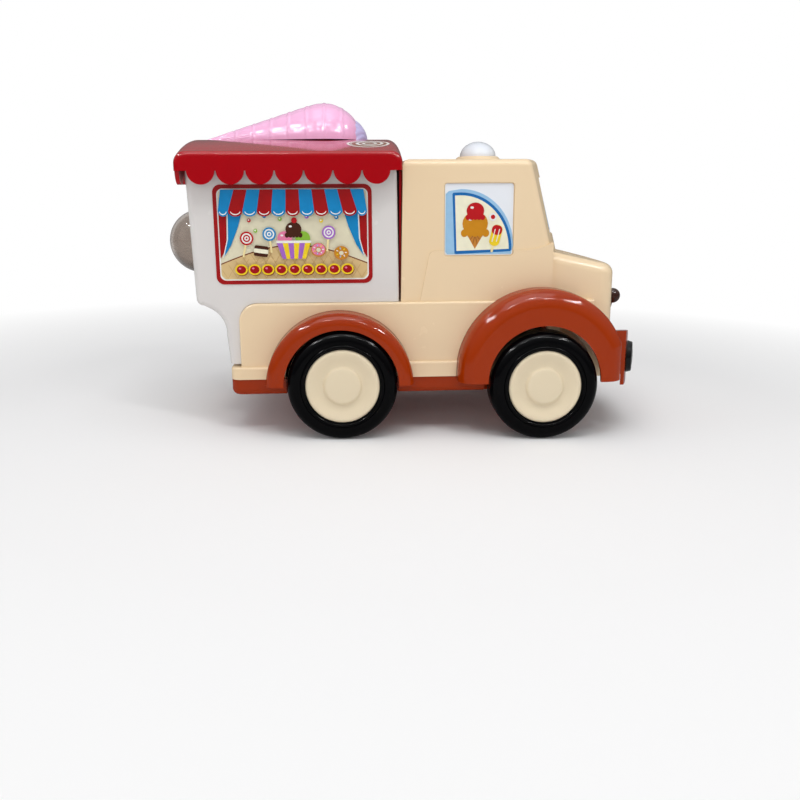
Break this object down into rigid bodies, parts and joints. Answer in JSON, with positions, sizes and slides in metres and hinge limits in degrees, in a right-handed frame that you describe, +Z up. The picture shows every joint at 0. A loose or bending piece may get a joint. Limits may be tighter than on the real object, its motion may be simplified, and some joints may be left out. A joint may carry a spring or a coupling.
{
  "type": "toy ice cream truck",
  "caption": "Moulded plastic push toy shaped like an ice cream truck, with a scalloped awning roof, a cone on top and free-rolling wheels driven by a friction motor.",
  "frame": {"origin": "on the floor, under the middle of the overall box", "axes": "+X forward to the nose, +Y to the truck's left, +Z up"},
  "size_m": [0.2509, 0.138, 0.1656],
  "materials": {
    "cream_plastic": "moulded, satin gloss",
    "rust_plastic": "moulded, gloss",
    "white_plastic": "moulded, satin",
    "crimson_plastic": "moulded, high gloss",
    "pink_plastic": "moulded, waffle relief",
    "lilac_plastic": "moulded, gloss",
    "lamp_plastic": "milky cover, gloss",
    "clear_plastic": "smoky clear plastic",
    "black_plastic": "gloss",
    "brown_plastic": "gloss",
    "side_print": "printed film, satin",
    "window_print": "printed film, satin",
    "tyre_rubber": "smooth, semi-gloss",
    "hub_plastic": "moulded, satin",
    "axle_steel": "drawn rod",
    "motor_plastic": "moulded case"
  },
  "bodies": {
    "truck": {"body_shell": "cream_plastic", "chassis": "rust_plastic", "bumper": "rust_plastic", "front_wheel_arch_left": "rust_plastic", "front_wheel_arch_right": "rust_plastic", "rear_wheel_arch_left": "rust_plastic", "rear_wheel_arch_right": "rust_plastic", "cargo_box": "white_plastic", "box_roof": "crimson_plastic", "cone": "pink_plastic", "scoop": "lilac_plastic", "roof_lamp": "lamp_plastic", "rear_dome": "clear_plastic", "headlamp_left": "black_plastic", "headlamp_right": "black_plastic", "grille_bar": "brown_plastic", "side_sticker_left": "side_print", "side_sticker_right": "side_print", "window_sticker_left": "window_print", "window_sticker_right": "window_print", "friction_motor": "motor_plastic"},
    "front_wheelset": {"tyre_front_left": "tyre_rubber", "tyre_front_right": "tyre_rubber", "hub_front_left": "hub_plastic", "hub_front_right": "hub_plastic", "axle_front": "axle_steel"},
    "rear_wheelset": {"tyre_rear_left": "tyre_rubber", "tyre_rear_right": "tyre_rubber", "hub_rear_left": "hub_plastic", "hub_rear_right": "hub_plastic", "axle_rear": "axle_steel"}
  },
  "joints": [
    {"name": "front_wheelset_spin", "type": "hinge", "parent": "truck", "child": "front_wheelset", "pos_m": [0.0687, 0, 0.0274], "axis": [0, 1, 0], "continuous": true},
    {"name": "rear_wheelset_spin", "type": "hinge", "parent": "truck", "child": "rear_wheelset", "pos_m": [-0.0323, 0, 0.0274], "axis": [0, 1, 0], "continuous": true}
  ]
}
